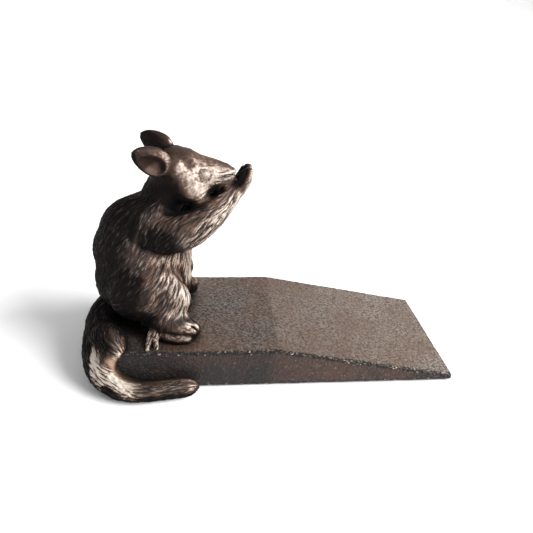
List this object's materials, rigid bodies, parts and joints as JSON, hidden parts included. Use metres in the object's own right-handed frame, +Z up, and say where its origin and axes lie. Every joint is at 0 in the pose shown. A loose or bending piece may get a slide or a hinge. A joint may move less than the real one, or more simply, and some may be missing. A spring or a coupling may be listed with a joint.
{
  "type": "door wedge",
  "caption": "Cast iron door wedge with a sitting squirrel on its thick end, whose tail drops behind the wedge and runs along one side.",
  "frame": {"origin": "on the floor, at the middle of the object's footprint box", "axes": "+X along the wedge towards its thin edge, +Y across it to the side away from the tail, +Z up"},
  "size_m": [0.1625, 0.0741, 0.0981],
  "materials": {
    "wedge_iron": "sand-cast grain, dark bronze-brown lacquer",
    "figure_iron": "antique bronze-brown, black in the hollows, rubbed bright on the raised fur",
    "tail_iron": "antique bronze-brown, rubbed bright on the raised fur",
    "fastener_steel": "plain zinc",
    "pad_rubber": "matt"
  },
  "bodies": {
    "root": {"wedge_base": "wedge_iron", "squirrel_near_half": "figure_iron", "squirrel_far_half": "figure_iron", "tail": "tail_iron", "tie_screw": "fastener_steel", "upper_dowel": "fastener_steel", "lower_dowel": "fastener_steel", "near_figure_screw": "fastener_steel", "far_figure_screw": "fastener_steel", "near_figure_washer": "fastener_steel", "far_figure_washer": "fastener_steel", "tail_screw": "fastener_steel", "tail_washer": "fastener_steel", "near_rear_pad": "pad_rubber", "near_front_pad": "pad_rubber", "far_rear_pad": "pad_rubber", "far_front_pad": "pad_rubber"}
  },
  "joints": []
}
